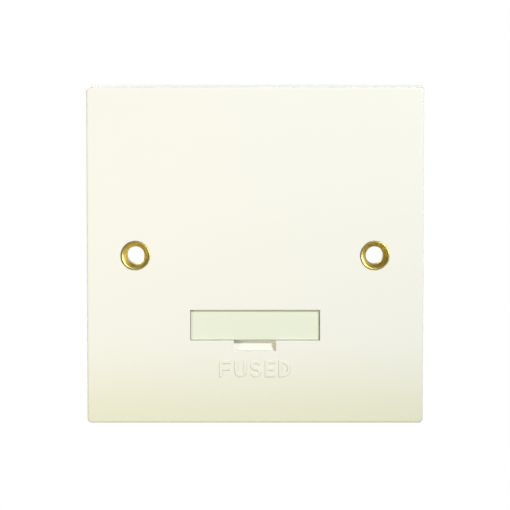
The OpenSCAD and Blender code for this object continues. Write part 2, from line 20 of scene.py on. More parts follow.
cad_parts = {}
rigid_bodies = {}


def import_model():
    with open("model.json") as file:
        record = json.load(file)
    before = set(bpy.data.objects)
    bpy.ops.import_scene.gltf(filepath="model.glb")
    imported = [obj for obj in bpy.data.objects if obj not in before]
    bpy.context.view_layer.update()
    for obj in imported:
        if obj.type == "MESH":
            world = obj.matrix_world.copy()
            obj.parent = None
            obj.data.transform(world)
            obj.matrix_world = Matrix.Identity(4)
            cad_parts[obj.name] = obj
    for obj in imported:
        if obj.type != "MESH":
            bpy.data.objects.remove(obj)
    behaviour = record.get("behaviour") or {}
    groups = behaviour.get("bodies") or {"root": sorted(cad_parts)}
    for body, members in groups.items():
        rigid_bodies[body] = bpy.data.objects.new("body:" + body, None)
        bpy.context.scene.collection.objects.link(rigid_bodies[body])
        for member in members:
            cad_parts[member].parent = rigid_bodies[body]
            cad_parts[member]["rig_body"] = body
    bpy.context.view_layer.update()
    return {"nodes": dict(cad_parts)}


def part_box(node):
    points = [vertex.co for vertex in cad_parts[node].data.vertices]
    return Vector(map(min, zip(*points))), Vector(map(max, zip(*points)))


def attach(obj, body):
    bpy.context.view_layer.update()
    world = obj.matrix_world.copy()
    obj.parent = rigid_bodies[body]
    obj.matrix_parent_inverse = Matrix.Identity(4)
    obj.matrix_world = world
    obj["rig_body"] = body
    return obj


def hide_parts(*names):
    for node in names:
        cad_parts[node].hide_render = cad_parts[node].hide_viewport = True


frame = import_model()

MM = 0.001

# %% [markdown]
# The new pieces have to fit the solids. Their sizes could be typed again here, but
# a number that is kept in two places goes wrong sooner or later, so they are
# measured from the boxes round the solids. Only two are typed: how far the face
# stands from the wall, and how far its edge leans in. A box can't tell those,
# because the raised letters stand in front of the face.

# %% Measure what the new pieces have to fit
plate_low, plate_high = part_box("faceplate")
eyelet_low, eyelet_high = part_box("right_eyelet")
fix_x = (eyelet_low.x + eyelet_high.x) / 2
FACE_Y = -8.5 * MM
EDGE_DRAFT = 0.65 * MM
print("plate:", round((plate_high.x - plate_low.x) / MM, 2), "mm wide")
print("fixing holes:", round(2 * fix_x / MM, 2), "mm apart")

# %% [markdown]
# # The camera
#
# A product photograph of a wall plate is taken almost straight on. The far end of
# each brass hole shows a touch above the near end, so the lens sits a few degrees
# above the middle. A lens could be tried by eye until the plate fills the picture as
# it should. It is safer to work it out from how many pixels wide the plate is.

# %% Place the camera
PICTURE = 510
PLATE_PIXELS = 336.5
PLATE_MIDDLE = (255.1, 255.6)
DISTANCE = 0.6
ABOVE = math.radians(3.6)
SENSOR = 36
NEAREST = 0.01
FARTHEST = 20
face_width = plate_high.x - plate_low.x - 2 * EDGE_DRAFT


def photo_camera():
    data = bpy.data.cameras.new("photo_camera")
    camera = bpy.data.objects.new("photo_camera", data)
    bpy.context.scene.collection.objects.link(camera)
    bpy.context.scene.camera = camera
    target = Vector((0, FACE_Y, 0))
    away = Vector((0, -math.cos(ABOVE), math.sin(ABOVE)))
    camera.location = target + away * DISTANCE
    camera.rotation_euler = (-away).to_track_quat("-Z", "Y").to_euler()
    pixels_per_radian = PLATE_PIXELS * DISTANCE / face_width
    data.sensor_width = SENSOR
    data.lens = data.sensor_width * pixels_per_radian / PICTURE
    data.shift_x = (PICTURE / 2 - PLATE_MIDDLE[0]) / PICTURE
    data.shift_y = (PLATE_MIDDLE[1] - PICTURE / 2) / PICTURE
    data.clip_start = NEAREST
    data.clip_end = FARTHEST
    return camera


camera = photo_camera()
print("lens:", round(camera.data.lens, 1), "mm")

# %% [markdown]
# # The set
#
# Every material here, and the world too, is built from shader nodes. They could be
# made by hand in the Shader Editor, but then the file alone couldn't make the unit
# again. Three short helpers keep the code readable: one makes a node and sets it up,
# one draws a wire, and one does a sum with numbers or with other nodes' results.

# %% Helpers for nodes


def add_node(tree, kind, **settings):
    node = tree.nodes.new(kind)
    for name, value in settings.items():
        setattr(node, name, value)
    return node


def join(tree, output, socket):
    tree.links.new(output, socket)


def maths(tree, operation, first, second, clamp=False):
    node = add_node(tree, "ShaderNodeMath", operation=operation, use_clamp=clamp)
    for socket, value in zip(node.inputs, (first, second)):
        if isinstance(value, (int, float)):
            socket.default_value = value
        else:
            join(tree, value, socket)
    return node.outputs["Value"]


print("helpers:", add_node.__name__, join.__name__, maths.__name__)

# %% [markdown]
# The photograph has a pure white background, as a studio sweep gives. More light
# would make it white too, but it would bleach the unit's cream plastic with it. So
# the white is painted instead: the world answers a camera ray with plain white, and
# lights the scene with less. Shiny metal has to see that white too, so reflected
# rays get it as well. They see it dimmer where the camera stands, and dimmest at
# the lower left, as in a room whose front end is dark.

# %% Paint the world
AMBIENT = 0.29
ROOM_FRONT = 0.05
BRIGHT_WAY = (0.5, 1.0, 0.4)
DARK_END = -0.7
BRIGHT_END = 0.5
AMBIENT_COLOUR = (0.93, 1.0, 0.86, 1)


def paint_world():
    world = bpy.data.worlds.new("studio")
    bpy.context.scene.world = world
    world.use_nodes = True
    tree = world.node_tree
    tree.nodes.clear()
    path = add_node(tree, "ShaderNodeLightPath")
    seen = maths(tree, "ADD", path.outputs["Is Camera Ray"], path.outputs["Is Glossy Ray"])
    seen = maths(tree, "ADD", seen, path.outputs["Is Transmission Ray"], clamp=True)
    way = add_node(tree, "ShaderNodeTexCoord")
    along = add_node(tree, "ShaderNodeVectorMath", operation="DOT_PRODUCT")
    join(tree, way.outputs["Generated"], along.inputs[0])
    along.inputs[1].default_value = BRIGHT_WAY
    depth = add_node(tree, "ShaderNodeMapRange", interpolation_type="SMOOTHSTEP")
    depth.inputs["From Min"].default_value = DARK_END
    depth.inputs["From Max"].default_value = BRIGHT_END
    depth.inputs["To Min"].default_value = ROOM_FRONT
    depth.inputs["To Max"].default_value = 1.0
    join(tree, along.outputs["Value"], depth.inputs["Value"])
    room = maths(tree, "MAXIMUM", depth.outputs["Result"], path.outputs["Is Camera Ray"])
    white = add_node(tree, "ShaderNodeBackground")
    white.inputs["Color"].default_value = (1, 1, 1, 1)
    join(tree, room, white.inputs["Strength"])
    ambient = add_node(tree, "ShaderNodeBackground")
    ambient.inputs["Color"].default_value = AMBIENT_COLOUR
    ambient.inputs["Strength"].default_value = AMBIENT
    mix = add_node(tree, "ShaderNodeMixShader")
    out = add_node(tree, "ShaderNodeOutputWorld")
    join(tree, seen, mix.inputs["Fac"])
    join(tree, ambient.outputs["Background"], mix.inputs[1])
    join(tree, white.outputs["Background"], mix.inputs[2])
    join(tree, mix.outputs["Shader"], out.inputs["Surface"])


paint_world()
scene = bpy.context.scene
scene.view_settings.view_transform = "Standard"
print("ambient light:", AMBIENT)

# %% [markdown]
# The unit hangs as it would on a wall, with the floor some way below it. A plane
# would do for the floor, but its far edge would show as a line. This one is a round
# pale sheet that takes the soft shadow, and towards its rim it turns into the white
# of the background. It does so only for the camera: the light that it throws back
# onto the unit stays that of a pale floor.

# %% Lay the floor
FLOOR_Z = -0.25
FLOOR_RADIUS = 1.2
FADE_FROM = 0.2 * FLOOR_RADIUS
FADE_TO = 0.85 * FLOOR_RADIUS
FLOOR_SIDES = 96
FLOOR_COLOUR = (0.86, 0.86, 0.85, 1)


def round_sheet(name, radius, z):
    mesh = bpy.data.meshes.new(name)
    build = bmesh.new()
    bmesh.ops.create_circle(build, cap_ends=True, segments=FLOOR_SIDES, radius=radius)
    build.to_mesh(mesh)
    build.free()
    sheet = bpy.data.objects.new(name, mesh)
    sheet.location.z = z
    bpy.context.scene.collection.objects.link(sheet)
    return sheet


def floor_material():
    material = bpy.data.materials.new("pale_floor")
    material.use_nodes = True
    tree = material.node_tree
    tree.nodes.clear()
    place = add_node(tree, "ShaderNodeTexCoord")
    length = add_node(tree, "ShaderNodeVectorMath", operation="LENGTH")
    join(tree, place.outputs["Object"], length.inputs[0])
    fade = add_node(tree, "ShaderNodeMapRange", interpolation_type="SMOOTHSTEP")
    fade.inputs["From Min"].default_value = FADE_FROM
    fade.inputs["From Max"].default_value = FADE_TO
    join(tree, length.outputs["Value"], fade.inputs["Value"])
    path = add_node(tree, "ShaderNodeLightPath")
    share = maths(tree, "MULTIPLY", fade.outputs["Result"], path.outputs["Is Camera Ray"])
    pale = add_node(tree, "ShaderNodeBsdfDiffuse")
    pale.inputs["Color"].default_value = FLOOR_COLOUR
    white = add_node(tree, "ShaderNodeEmission")
    white.inputs["Color"].default_value = (1, 1, 1, 1)
    mix = add_node(tree, "ShaderNodeMixShader")
    out = add_node(tree, "ShaderNodeOutputMaterial")
    join(tree, share, mix.inputs["Fac"])
    join(tree, pale.outputs["BSDF"], mix.inputs[1])
    join(tree, white.outputs["Emission"], mix.inputs[2])
    join(tree, mix.outputs["Shader"], out.inputs["Surface"])
    return material


floor = round_sheet("floor", FLOOR_RADIUS, FLOOR_Z)
floor.data.materials.append(floor_material())
print("floor at z =", FLOOR_Z)

# %% [markdown]
# # The lamps
#
# The notch under the carrier tells where the light comes from: its shadow lies
# along the top and in the right corner, so the key is above and to the right. The
# plate stays evenly bright until its lowest third and then goes darker and warmer.
# A large soft lamp can't fall off as fast as that, but the rim of a spot's beam can,
# and painted shade does the rest: the plastic's colour is made darker and yellower
# towards the bottom. A small warm fill stands close by on the left. The eyelets
# shine on their left side, so they see a bright card on the right. It would spoil the
# plate's even light, so it is linked to a collection that will hold the eyelets alone.
# A last lamp, behind and above, lights the back and lets the plate's upper edge melt
# into the white, as it does in the photograph.

# %% Hang the lamps


def hang(name, data, place, aim, power, colour):
    data.energy = power
    data.color = colour
    lamp = bpy.data.objects.new(name, data)
    lamp.location = place
    way = Vector(aim) - Vector(place)
    lamp.rotation_euler = way.to_track_quat("-Z", "Y").to_euler()
    bpy.context.scene.collection.objects.link(lamp)
    return lamp


def softbox(name, place, aim, size, power, colour):
    data = bpy.data.lights.new(name, "AREA")
    data.shape = "DISK"
    data.size = size
    return hang(name, data, place, aim, power, colour)


def spot(name, place, aim, size, beam, power, colour):
    data = bpy.data.lights.new(name, "SPOT")
    data.shadow_soft_size = size
    data.spot_size = math.radians(beam)
    data.spot_blend = 1.0
    return hang(name, data, place, aim, power, colour)


MIDDLE = (0, 0, 0)
WHITE = (1.0, 1.0, 1.0)
spot("key", place=(0.343, -0.459, 0.336), aim=(0.03, FACE_Y, 0.04), size=0.04,
     beam=32, power=15.0, colour=(0.898, 0.906, 1.0))
fill = softbox("fill", place=(-0.2, -0.2, 0.0), aim=MIDDLE, size=0.12,
               power=0.305, colour=(1.0, 0.892, 0.8))
fill.visible_glossy = False
card = softbox("card", place=(0.5, -0.12, 0.14), aim=MIDDLE, size=0.25,
               power=3.5, colour=WHITE)
card_lit = bpy.data.collections.new("lit_by_card")
card.light_linking.receiver_collection = card_lit
softbox("back", place=(-0.35, 0.72, 0.36), aim=MIDDLE, size=0.5,
        power=5.5, colour=WHITE)

# %% [markdown]
# # Surface effects as node groups
#
# Soft edges, moulding marks, tool marks and dust turn up on many pieces. They
# could be built again in each material. A node group is built once, and then each
# material places it with its own values, like one rubber stamp and many inks. In
# Blender 4.5 a group's sockets are made through its interface.

# %% Helper for groups
NUMBER = "NodeSocketFloat"
COLOUR = "NodeSocketColor"
VECTOR = "NodeSocketVector"


def new_group(name, inputs, outputs):
    group = bpy.data.node_groups.new(name, "ShaderNodeTree")
    for title, kind, value in inputs:
        socket = group.interface.new_socket(name=title, in_out="INPUT", socket_type=kind)
        if value is not None:
            socket.default_value = value
    for title, kind in outputs:
        group.interface.new_socket(name=title, in_out="OUTPUT", socket_type=kind)
    start = add_node(group, "NodeGroupInput")
    end = add_node(group, "NodeGroupOutput")
    return group, start, end


print("helper:", new_group.__name__)

# %% [markdown]
# Moulded edges are never knife sharp. A bevel modifier could round them, but these
# solids have to stay as they are. The Bevel node bends the normals near an edge as
# if it were rounded, and leaves the mesh alone. Where the bent normal leaves the
# true one there is an edge, so the same group also gives a mask for edge wear.

# %% Build the edge group
BEVEL_SAMPLES = 8


def edge_group():
    group, start, end = new_group(
        "soft_edges",
        [("Radius", NUMBER, 0.0003), ("Wear Gain", NUMBER, 6.0)],
        [("Normal", VECTOR), ("Edge Mask", NUMBER)],
    )
    bevel = add_node(group, "ShaderNodeBevel", samples=BEVEL_SAMPLES)
    join(group, start.outputs["Radius"], bevel.inputs["Radius"])
    shape = add_node(group, "ShaderNodeNewGeometry")
    dot = add_node(group, "ShaderNodeVectorMath", operation="DOT_PRODUCT")
    join(group, bevel.outputs["Normal"], dot.inputs[0])
    join(group, shape.outputs["True Normal"], dot.inputs[1])
    bend = maths(group, "SUBTRACT", 1.0, dot.outputs["Value"])
    mask = maths(group, "MULTIPLY", bend, start.outputs["Wear Gain"], clamp=True)
    join(group, bevel.outputs["Normal"], end.inputs["Normal"])
    join(group, mask, end.inputs["Edge Mask"])
    return group


SOFT_EDGES = edge_group()
print("group:", SOFT_EDGES.name)

# %% [markdown]
# Nothing that is made in a press or on a lathe is the same all over. The patterns
# could be painted as pictures, but a picture has a size and a seam, and noise has
# neither. So four more helpers make noise, blend two colours by it, spread it over
# a range of values, and turn it into relief. Noise rarely leaves the middle of its
# range, so only that middle is spread.

# %% Helpers for patterns
NOISE_LOW = 0.3
NOISE_HIGH = 0.7
MIX_SHARE, MIX_FIRST, MIX_SECOND = 0, 6, 7
MIX_COLOUR = 2


def noise(tree, vector, scale, detail=2.0, roughness=0.5):
    node = add_node(tree, "ShaderNodeTexNoise")
    node.inputs["Detail"].default_value = detail
    node.inputs["Roughness"].default_value = roughness
    join(tree, vector, node.inputs["Vector"])
    if isinstance(scale, (int, float)):
        node.inputs["Scale"].default_value = scale
    else:
        join(tree, scale, node.inputs["Scale"])
    return node.outputs["Fac"]


def blend_colours(tree, share, first, second):
    node = add_node(tree, "ShaderNodeMix", data_type="RGBA")
    join(tree, share, node.inputs[MIX_SHARE])
    for place, value in ((MIX_FIRST, first), (MIX_SECOND, second)):
        if isinstance(value, tuple):
            node.inputs[place].default_value = value
        else:
            join(tree, value, node.inputs[place])
    return node.outputs[MIX_COLOUR]


def spread(tree, value, low, high):
    node = add_node(tree, "ShaderNodeMapRange")
    node.inputs["From Min"].default_value = NOISE_LOW
    node.inputs["From Max"].default_value = NOISE_HIGH
    for title, limit in (("To Min", low), ("To Max", high)):
        if isinstance(limit, (int, float)):
            node.inputs[title].default_value = limit
        else:
            join(tree, limit, node.inputs[title])
    join(tree, value, node.inputs["Value"])
    return node.outputs["Result"]


def bump(tree, height, distance, normal):
    node = add_node(tree, "ShaderNodeBump")
    node.inputs["Strength"].default_value = 1.0
    join(tree, height, node.inputs["Height"])
    join(tree, distance, node.inputs["Distance"])
    join(tree, normal, node.inputs["Normal"])
    return node.outputs["Normal"]


print("helpers:", noise.__name__, blend_colours.__name__, spread.__name__, bump.__name__)

# %% [markdown]
# Urea is pressed in a polished steel mould, so its face is glossy but not flat:
# it has slow ripples a few millimetres long and a very fine peel. Both could be
# one noise with many octaves, but two noises let each be set by itself. The colour
# drifts a little from cloud to cloud, as the powder never mixes perfectly. Towards
# the bottom it is painted darker and yellower: painted shade, standing in for the
# light that falls off on the lower end.

# %% Build the moulding group
# Painted shade: between these two heights the colour turns darker and yellower towards the
# bottom, standing in for the light that falls off there.
PAINTED_SHADE_FROM = -0.02
PAINTED_SHADE_TO = -0.045
WORN_SCALE = 400.0


def moulding_group():
    group, start, end = new_group(
        "moulded_skin",
        [
            ("Color", COLOUR, (0.8, 0.8, 0.7, 1)),
            ("Cloud Color", COLOUR, (0.75, 0.75, 0.6, 1)),
            ("Painted Shade Color", COLOUR, (0.7, 0.68, 0.5, 1)),
            ("Cloud Scale", NUMBER, 30.0),
            ("Ripple Scale", NUMBER, 180.0),
            ("Ripple Height", NUMBER, 0.00001),
            ("Peel Scale", NUMBER, 2500.0),
            ("Peel Height", NUMBER, 0.000001),
            ("Smooth", NUMBER, 0.2),
            ("Rough", NUMBER, 0.3),
            ("Normal", VECTOR, None),
        ],
        [("Color", COLOUR), ("Roughness", NUMBER), ("Normal", VECTOR)],
    )
    place = add_node(group, "ShaderNodeTexCoord").outputs["Object"]
    cloud = noise(group, place, start.outputs["Cloud Scale"], detail=3.0)
    share = spread(group, cloud, 0.0, 1.0)
    colour = blend_colours(group, share, start.outputs["Color"], start.outputs["Cloud Color"])
    split = add_node(group, "ShaderNodeSeparateXYZ")
    join(group, place, split.inputs["Vector"])
    # Painted shade: the lower end blends into the shade colour, darker and yellower towards
    # the bottom.
    low = add_node(group, "ShaderNodeMapRange", interpolation_type="SMOOTHSTEP")
    low.inputs["From Min"].default_value = PAINTED_SHADE_FROM
    low.inputs["From Max"].default_value = PAINTED_SHADE_TO
    join(group, split.outputs["Z"], low.inputs["Value"])
    colour = blend_colours(group, low.outputs["Result"], colour, start.outputs["Painted Shade Color"])
    ripple = noise(group, place, start.outputs["Ripple Scale"], detail=1.0)
    peel = noise(group, place, start.outputs["Peel Scale"], detail=1.0)
    waved = bump(group, ripple, start.outputs["Ripple Height"], start.outputs["Normal"])
    skin = bump(group, peel, start.outputs["Peel Height"], waved)
    worn = noise(group, place, WORN_SCALE, detail=3.0)
    rough = spread(group, worn, start.outputs["Smooth"], start.outputs["Rough"])
    join(group, colour, end.inputs["Color"])
    join(group, rough, end.inputs["Roughness"])
    join(group, skin, end.inputs["Normal"])
    return group


MOULDED_SKIN = moulding_group()
print("group:", MOULDED_SKIN.name)

# %% [markdown]
# Brass strip is rolled and a brass screw is turned, and both tools leave fine
# parallel lines. A wave texture would give lines that are all alike, but noise that
# is squeezed hard along one axis gives lines that come and go as real ones do. A
# slower noise darkens patches, where the metal has tarnished, and the edge mask
# brightens the corners, which stay polished by handling.

# %% Build the metal group


def metal_group():
    group, start, end = new_group(
        "worked_metal",
        [
            ("Color", COLOUR, (0.8, 0.6, 0.25, 1)),
            ("Tarnish Color", COLOUR, (0.4, 0.25, 0.08, 1)),
            ("Tarnish", NUMBER, 0.4),
            ("Tarnish Scale", NUMBER, 220.0),
            ("Grain", VECTOR, (1.0, 1.0, 1.0)),
            ("Grain Scale", NUMBER, 900.0),
            ("Grain Height", NUMBER, 0.000002),
            ("Smooth", NUMBER, 0.2),
            ("Rough", NUMBER, 0.4),
            ("Edge Mask", NUMBER, 0.0),
            ("Normal", VECTOR, None),
        ],
        [("Color", COLOUR), ("Roughness", NUMBER), ("Normal", VECTOR)],
    )
    place = add_node(group, "ShaderNodeTexCoord").outputs["Object"]
    stretched = add_node(group, "ShaderNodeVectorMath", operation="MULTIPLY")
    join(group, place, stretched.inputs[0])
    join(group, start.outputs["Grain"], stretched.inputs[1])
    lines = noise(group, stretched.outputs["Vector"], start.outputs["Grain Scale"], detail=3.0)
    patch = noise(group, place, start.outputs["Tarnish Scale"], detail=4.0, roughness=0.6)
    dull = maths(group, "MULTIPLY", spread(group, patch, 0.0, 1.0), start.outputs["Tarnish"])
    kept = maths(group, "SUBTRACT", 1.0, start.outputs["Edge Mask"], clamp=True)
    dull = maths(group, "MULTIPLY", dull, kept, clamp=True)
    colour = blend_colours(group, dull, start.outputs["Color"], start.outputs["Tarnish Color"])
    half_lines = maths(group, "MULTIPLY", lines, 0.5)
    half_patch = maths(group, "MULTIPLY", patch, 0.5)
    both = maths(group, "ADD", half_lines, half_patch)
    rough = spread(group, both, start.outputs["Smooth"], start.outputs["Rough"])
    normal = bump(group, lines, start.outputs["Grain Height"], start.outputs["Normal"])
    join(group, colour, end.inputs["Color"])
    join(group, rough, end.inputs["Roughness"])
    join(group, normal, end.inputs["Normal"])
    return group


WORKED_METAL = metal_group()
print("group:", WORKED_METAL.name)

# %% [markdown]
# Dust settles on what faces up. It could be painted on by hand for each piece, but
# the surface's normal already tells what faces up, also on a piece that is changed
# later. The group takes the normal's upward share, breaks it up with noise, and
# gives a mask. On this clean unit it is used very lightly.

# %% Build the dust group


def dust_group():
    group, start, end = new_group(
        "settled_dust",
        [("Amount", NUMBER, 0.1), ("Scale", NUMBER, 900.0)],
        [("Mask", NUMBER)],
    )
    shape = add_node(group, "ShaderNodeNewGeometry")
    split = add_node(group, "ShaderNodeSeparateXYZ")
    join(group, shape.outputs["Normal"], split.inputs["Vector"])
    up = maths(group, "MAXIMUM", split.outputs["Z"], 0.0)
    place = add_node(group, "ShaderNodeTexCoord").outputs["Object"]
    specks = noise(group, place, start.outputs["Scale"], detail=4.0, roughness=0.7)
    broken = spread(group, specks, 0.2, 1.0)
    settled = maths(group, "MULTIPLY", up, broken)
    mask = maths(group, "MULTIPLY", settled, start.outputs["Amount"], clamp=True)
    join(group, mask, end.inputs["Mask"])
    return group


SETTLED_DUST = dust_group()
print("group:", SETTLED_DUST.name)

# %% [markdown]
# # The finishes
#
# Each finish is a material of its own. The groups feed the Principled shader,
# which stays in the material, and what doesn't vary over the surface, such as the
# strength of its gloss, is typed on the shader itself. Three plastics and eight
# metals could be eleven long listings. Two functions say once how a plastic and how
# a metal are wired, so that each finish below is only its colours and values.

# %% Helpers for finishes
DUST_COLOUR = (0.62, 0.6, 0.55, 1)


def place_group(tree, group, values):
    node = add_node(tree, "ShaderNodeGroup", node_tree=group)
    for title, value in values.items():
        if isinstance(value, bpy.types.NodeSocket):
            join(tree, value, node.inputs[title])
        else:
            node.inputs[title].default_value = value
    return node


def new_material(name):
    material = bpy.data.materials.new(name)
    material.use_nodes = True
    return material, material.node_tree, material.node_tree.nodes["Principled BSDF"]


def plastic(name, colours, values, radius, dust, gloss=0.5):
    """The colours are the plain one, the one of its clouds and a darker one painted at the
    lower end as shade.
    """
    material, tree, shader = new_material(name)
    edges = place_group(tree, SOFT_EDGES, {"Radius": radius})
    plain, cloud, painted_shade = colours
    skin = place_group(tree, MOULDED_SKIN, {
        "Color": (*plain, 1),
        "Cloud Color": (*cloud, 1),
        "Painted Shade Color": (*painted_shade, 1),
        "Normal": edges.outputs["Normal"],
        **values,
    })
    fall = place_group(tree, SETTLED_DUST, {"Amount": dust})
    colour = blend_colours(tree, fall.outputs["Mask"], skin.outputs["Color"], DUST_COLOUR)
    join(tree, colour, shader.inputs["Base Color"])
    join(tree, skin.outputs["Roughness"], shader.inputs["Roughness"])
    join(tree, skin.outputs["Normal"], shader.inputs["Normal"])
    shader.inputs["Specular IOR Level"].default_value = gloss
    return material


def metal(name, colour, tarnish, values, radius=0.00012, wear=4.0):
    material, tree, shader = new_material(name)
    edges = place_group(tree, SOFT_EDGES, {"Radius": radius, "Wear Gain": wear})
    skin = place_group(tree, WORKED_METAL, {
        "Color": (*colour, 1),
        "Tarnish Color": (*tarnish, 1),
        "Edge Mask": edges.outputs["Edge Mask"],
        "Normal": edges.outputs["Normal"],
        **values,
    })
    join(tree, skin.outputs["Color"], shader.inputs["Base Color"])
    join(tree, skin.outputs["Roughness"], shader.inputs["Roughness"])
    join(tree, skin.outputs["Normal"], shader.inputs["Normal"])
    shader.inputs["Metallic"].default_value = 1.0
    return material


print("helpers:", plastic.__name__, metal.__name__)

# %% [markdown]
# The plate is a warm cream urea. The fuse carrier comes from another mould and
# another batch of powder, and is a shade greener and a little darker. The rear
# moulding is never seen on the wall, so its mould isn't polished: it is satin. One
# material with an extra tint could serve all three, but their gloss differs as much
# as their colour, so each is a finish of its own. The colours, and the slight tints
# of the lamps, were set together by holding the render next to the photograph.

# %% Mix the plastics
# The third colour of each plastic is painted shade for its lower end.
cream_urea = plastic(
    "cream_urea", ((0.87, 0.866, 0.777), (0.866, 0.861, 0.768), (0.8, 0.8, 0.6)),
    {"Ripple Height": 0.000004, "Smooth": 0.2, "Rough": 0.26}, radius=0.0002, dust=0.06)
carrier_urea = plastic(
    "carrier_urea", ((0.798, 0.836, 0.672), (0.793, 0.831, 0.664), (0.79, 0.82, 0.64)),
    {"Ripple Height": 0.000003, "Smooth": 0.22, "Rough": 0.265}, radius=0.00025, dust=0.05)
rear_urea = plastic(
    "rear_urea", ((0.68, 0.66, 0.54), (0.64, 0.61, 0.49), (0.66, 0.62, 0.48)),
    {"Ripple Height": 0.000015, "Smooth": 0.38, "Rough": 0.5}, radius=0.00025, dust=0.25,
    gloss=0.4)
print("plastics:", cream_urea.name, carrier_urea.name, rear_urea.name)

# %% [markdown]
# Brass shows up four times. The eyelets are drawn from sheet and have darkened,
# the strips are rolled, the blocks are sawn from drawn bar, and the screws are
# turned. One brass for all would look like gold paint, so they share one group and
# differ in how their grain runs and how far they have tarnished. The clips are
# spring bronze, which is redder, the base's screws are zinc plated, and the fuse's
# caps are nickel plated.

# %% Mix the metals
eyelet_brass = metal(
    "eyelet_brass", (0.74, 0.62, 0.21), (0.38, 0.26, 0.06),
    {"Tarnish": 0.6, "Grain": (1.0, 6.0, 1.0), "Smooth": 0.36, "Rough": 0.52})
strip_brass = metal(
    "strip_brass", (0.82, 0.63, 0.28), (0.5, 0.33, 0.12),
    {"Tarnish": 0.5, "Grain": (0.06, 1.0, 1.0), "Grain Scale": 4000.0,
     "Smooth": 0.22, "Rough": 0.42})
bar_brass = metal(
    "bar_brass", (0.84, 0.64, 0.27), (0.55, 0.36, 0.12),
    {"Tarnish": 0.35, "Grain": (1.0, 1.0, 0.05), "Grain Scale": 3500.0,
     "Smooth": 0.2, "Rough": 0.36})
screw_brass = metal(
    "screw_brass", (0.86, 0.67, 0.3), (0.55, 0.36, 0.14),
    {"Tarnish": 0.3, "Grain": (1.0, 8.0, 1.0), "Grain Scale": 700.0,
     "Smooth": 0.16, "Rough": 0.32})
spring_bronze = metal(
    "spring_bronze", (0.78, 0.5, 0.3), (0.45, 0.24, 0.12),
    {"Tarnish": 0.45, "Grain": (0.05, 1.0, 1.0), "Grain Scale": 4000.0,
     "Smooth": 0.24, "Rough": 0.42})
zinc_steel = metal(
    "zinc_steel", (0.66, 0.67, 0.68), (0.42, 0.42, 0.36),
    {"Tarnish": 0.4, "Grain": (1.0, 6.0, 1.0), "Smooth": 0.26, "Rough": 0.44})
plated_cap = metal(
    "plated_cap", (0.78, 0.77, 0.73), (0.5, 0.48, 0.42),
    {"Tarnish": 0.25, "Grain": (8.0, 1.0, 1.0), "Smooth": 0.14, "Rough": 0.28})
fuse_wire_metal = metal(
    "fuse_wire_metal", (0.8, 0.8, 0.78), (0.5, 0.47, 0.42),
    {"Tarnish": 0.3, "Grain": (0.1, 1.0, 1.0), "Smooth": 0.2, "Rough": 0.4})
print("metals:", eyelet_brass.name, strip_brass.name, bar_brass.name, screw_brass.name)
print("       ", spring_bronze.name, zinc_steel.name, plated_cap.name, fuse_wire_metal.name)

# %% [markdown]
# The fuse's barrel is glazed ceramic: a white body with a clear, even glaze. A
# lower roughness alone would look like plastic, so the shader's coat stands for the
# glaze. The sand inside is graded quartz. Noise has no grains, but a texture of
# cells has, and at tenths of a millimetre they pass for sand.

# %% Mix the fuse's ceramic and sand
GLAZE = 0.6
GLAZE_ROUGHNESS = 0.12
SAND_SCALE = 5000.0
SAND_TINT_SCALE = 300.0
SAND_RELIEF = 0.00008
SAND_DARK = (0.55, 0.47, 0.33, 1)
SAND_PALE = (0.84, 0.79, 0.66, 1)


def glazed_ceramic():
    material = plastic(
        "barrel_ceramic", ((0.84, 0.83, 0.78), (0.8, 0.78, 0.72), (0.83, 0.81, 0.75)),
        {"Ripple Height": 0.000006, "Smooth": 0.3, "Rough": 0.42}, radius=0.0002, dust=0.05)
    shader = material.node_tree.nodes["Principled BSDF"]
    shader.inputs["Coat Weight"].default_value = GLAZE
    shader.inputs["Coat Roughness"].default_value = GLAZE_ROUGHNESS
    return material


def packed_sand():
    material, tree, shader = new_material("quartz_sand")
    place = add_node(tree, "ShaderNodeTexCoord").outputs["Object"]
    grains = add_node(tree, "ShaderNodeTexVoronoi")
    grains.inputs["Scale"].default_value = SAND_SCALE
    join(tree, place, grains.inputs["Vector"])
    tint = noise(tree, grains.outputs["Position"], SAND_TINT_SCALE)
    colour = blend_colours(tree, tint, SAND_DARK, SAND_PALE)
    relief = add_node(tree, "ShaderNodeBump")
    relief.inputs["Distance"].default_value = SAND_RELIEF
    join(tree, grains.outputs["Distance"], relief.inputs["Height"])
    join(tree, colour, shader.inputs["Base Color"])
    join(tree, spread(tree, tint, 0.5, 0.8), shader.inputs["Roughness"])
    join(tree, relief.outputs["Normal"], shader.inputs["Normal"])
    return material


barrel_ceramic = glazed_ceramic()
quartz_sand = packed_sand()
print("made:", barrel_ceramic.name, quartz_sand.name)

# %% [markdown]
# Most of the unit is moulded or cut to plain shapes, and the solids have those
# shapes already. They could be modelled again, but nothing would be won by it. So
# they keep their shape and only change finish: an object's material slots can be
# refilled without touching its mesh. One table says which solid gets which finish.

# %% Dress the solids
FINISHES = {
    "faceplate": cream_urea,
    "fuse_carrier": carrier_urea,
    "rear_base": rear_urea,
    "fuse_cover": rear_urea,
    "earth_strap": strip_brass,
    "neutral_link": strip_brass,
    "left_earth_terminal": bar_brass,
    "right_earth_terminal": bar_brass,
    "neutral_feed_terminal": bar_brass,
    "neutral_load_terminal": bar_brass,
    "line_feed_terminal": bar_brass,
    "line_load_terminal": bar_brass,
    "line_feed_clip": spring_bronze,
    "line_load_clip": spring_bronze,
    "fuse_wire": fuse_wire_metal,
    "fuse_filling": quartz_sand,
    "left_eyelet": eyelet_brass,
    "right_eyelet": eyelet_brass,
    "fuse_barrel": barrel_ceramic,
    "fuse_left_cap": plated_cap,
    "fuse_right_cap": plated_cap,
    "base_screws": zinc_steel,
}
SCREWS = [
    "left_earth_screw", "right_earth_screw", "neutral_feed_screw",
    "neutral_load_screw", "line_feed_screw", "line_load_screw",
]
for node in SCREWS:
    FINISHES[node] = screw_brass
for node, material in FINISHES.items():
    for holder in frame["nodes"][node].material_slots:
        holder.material = material
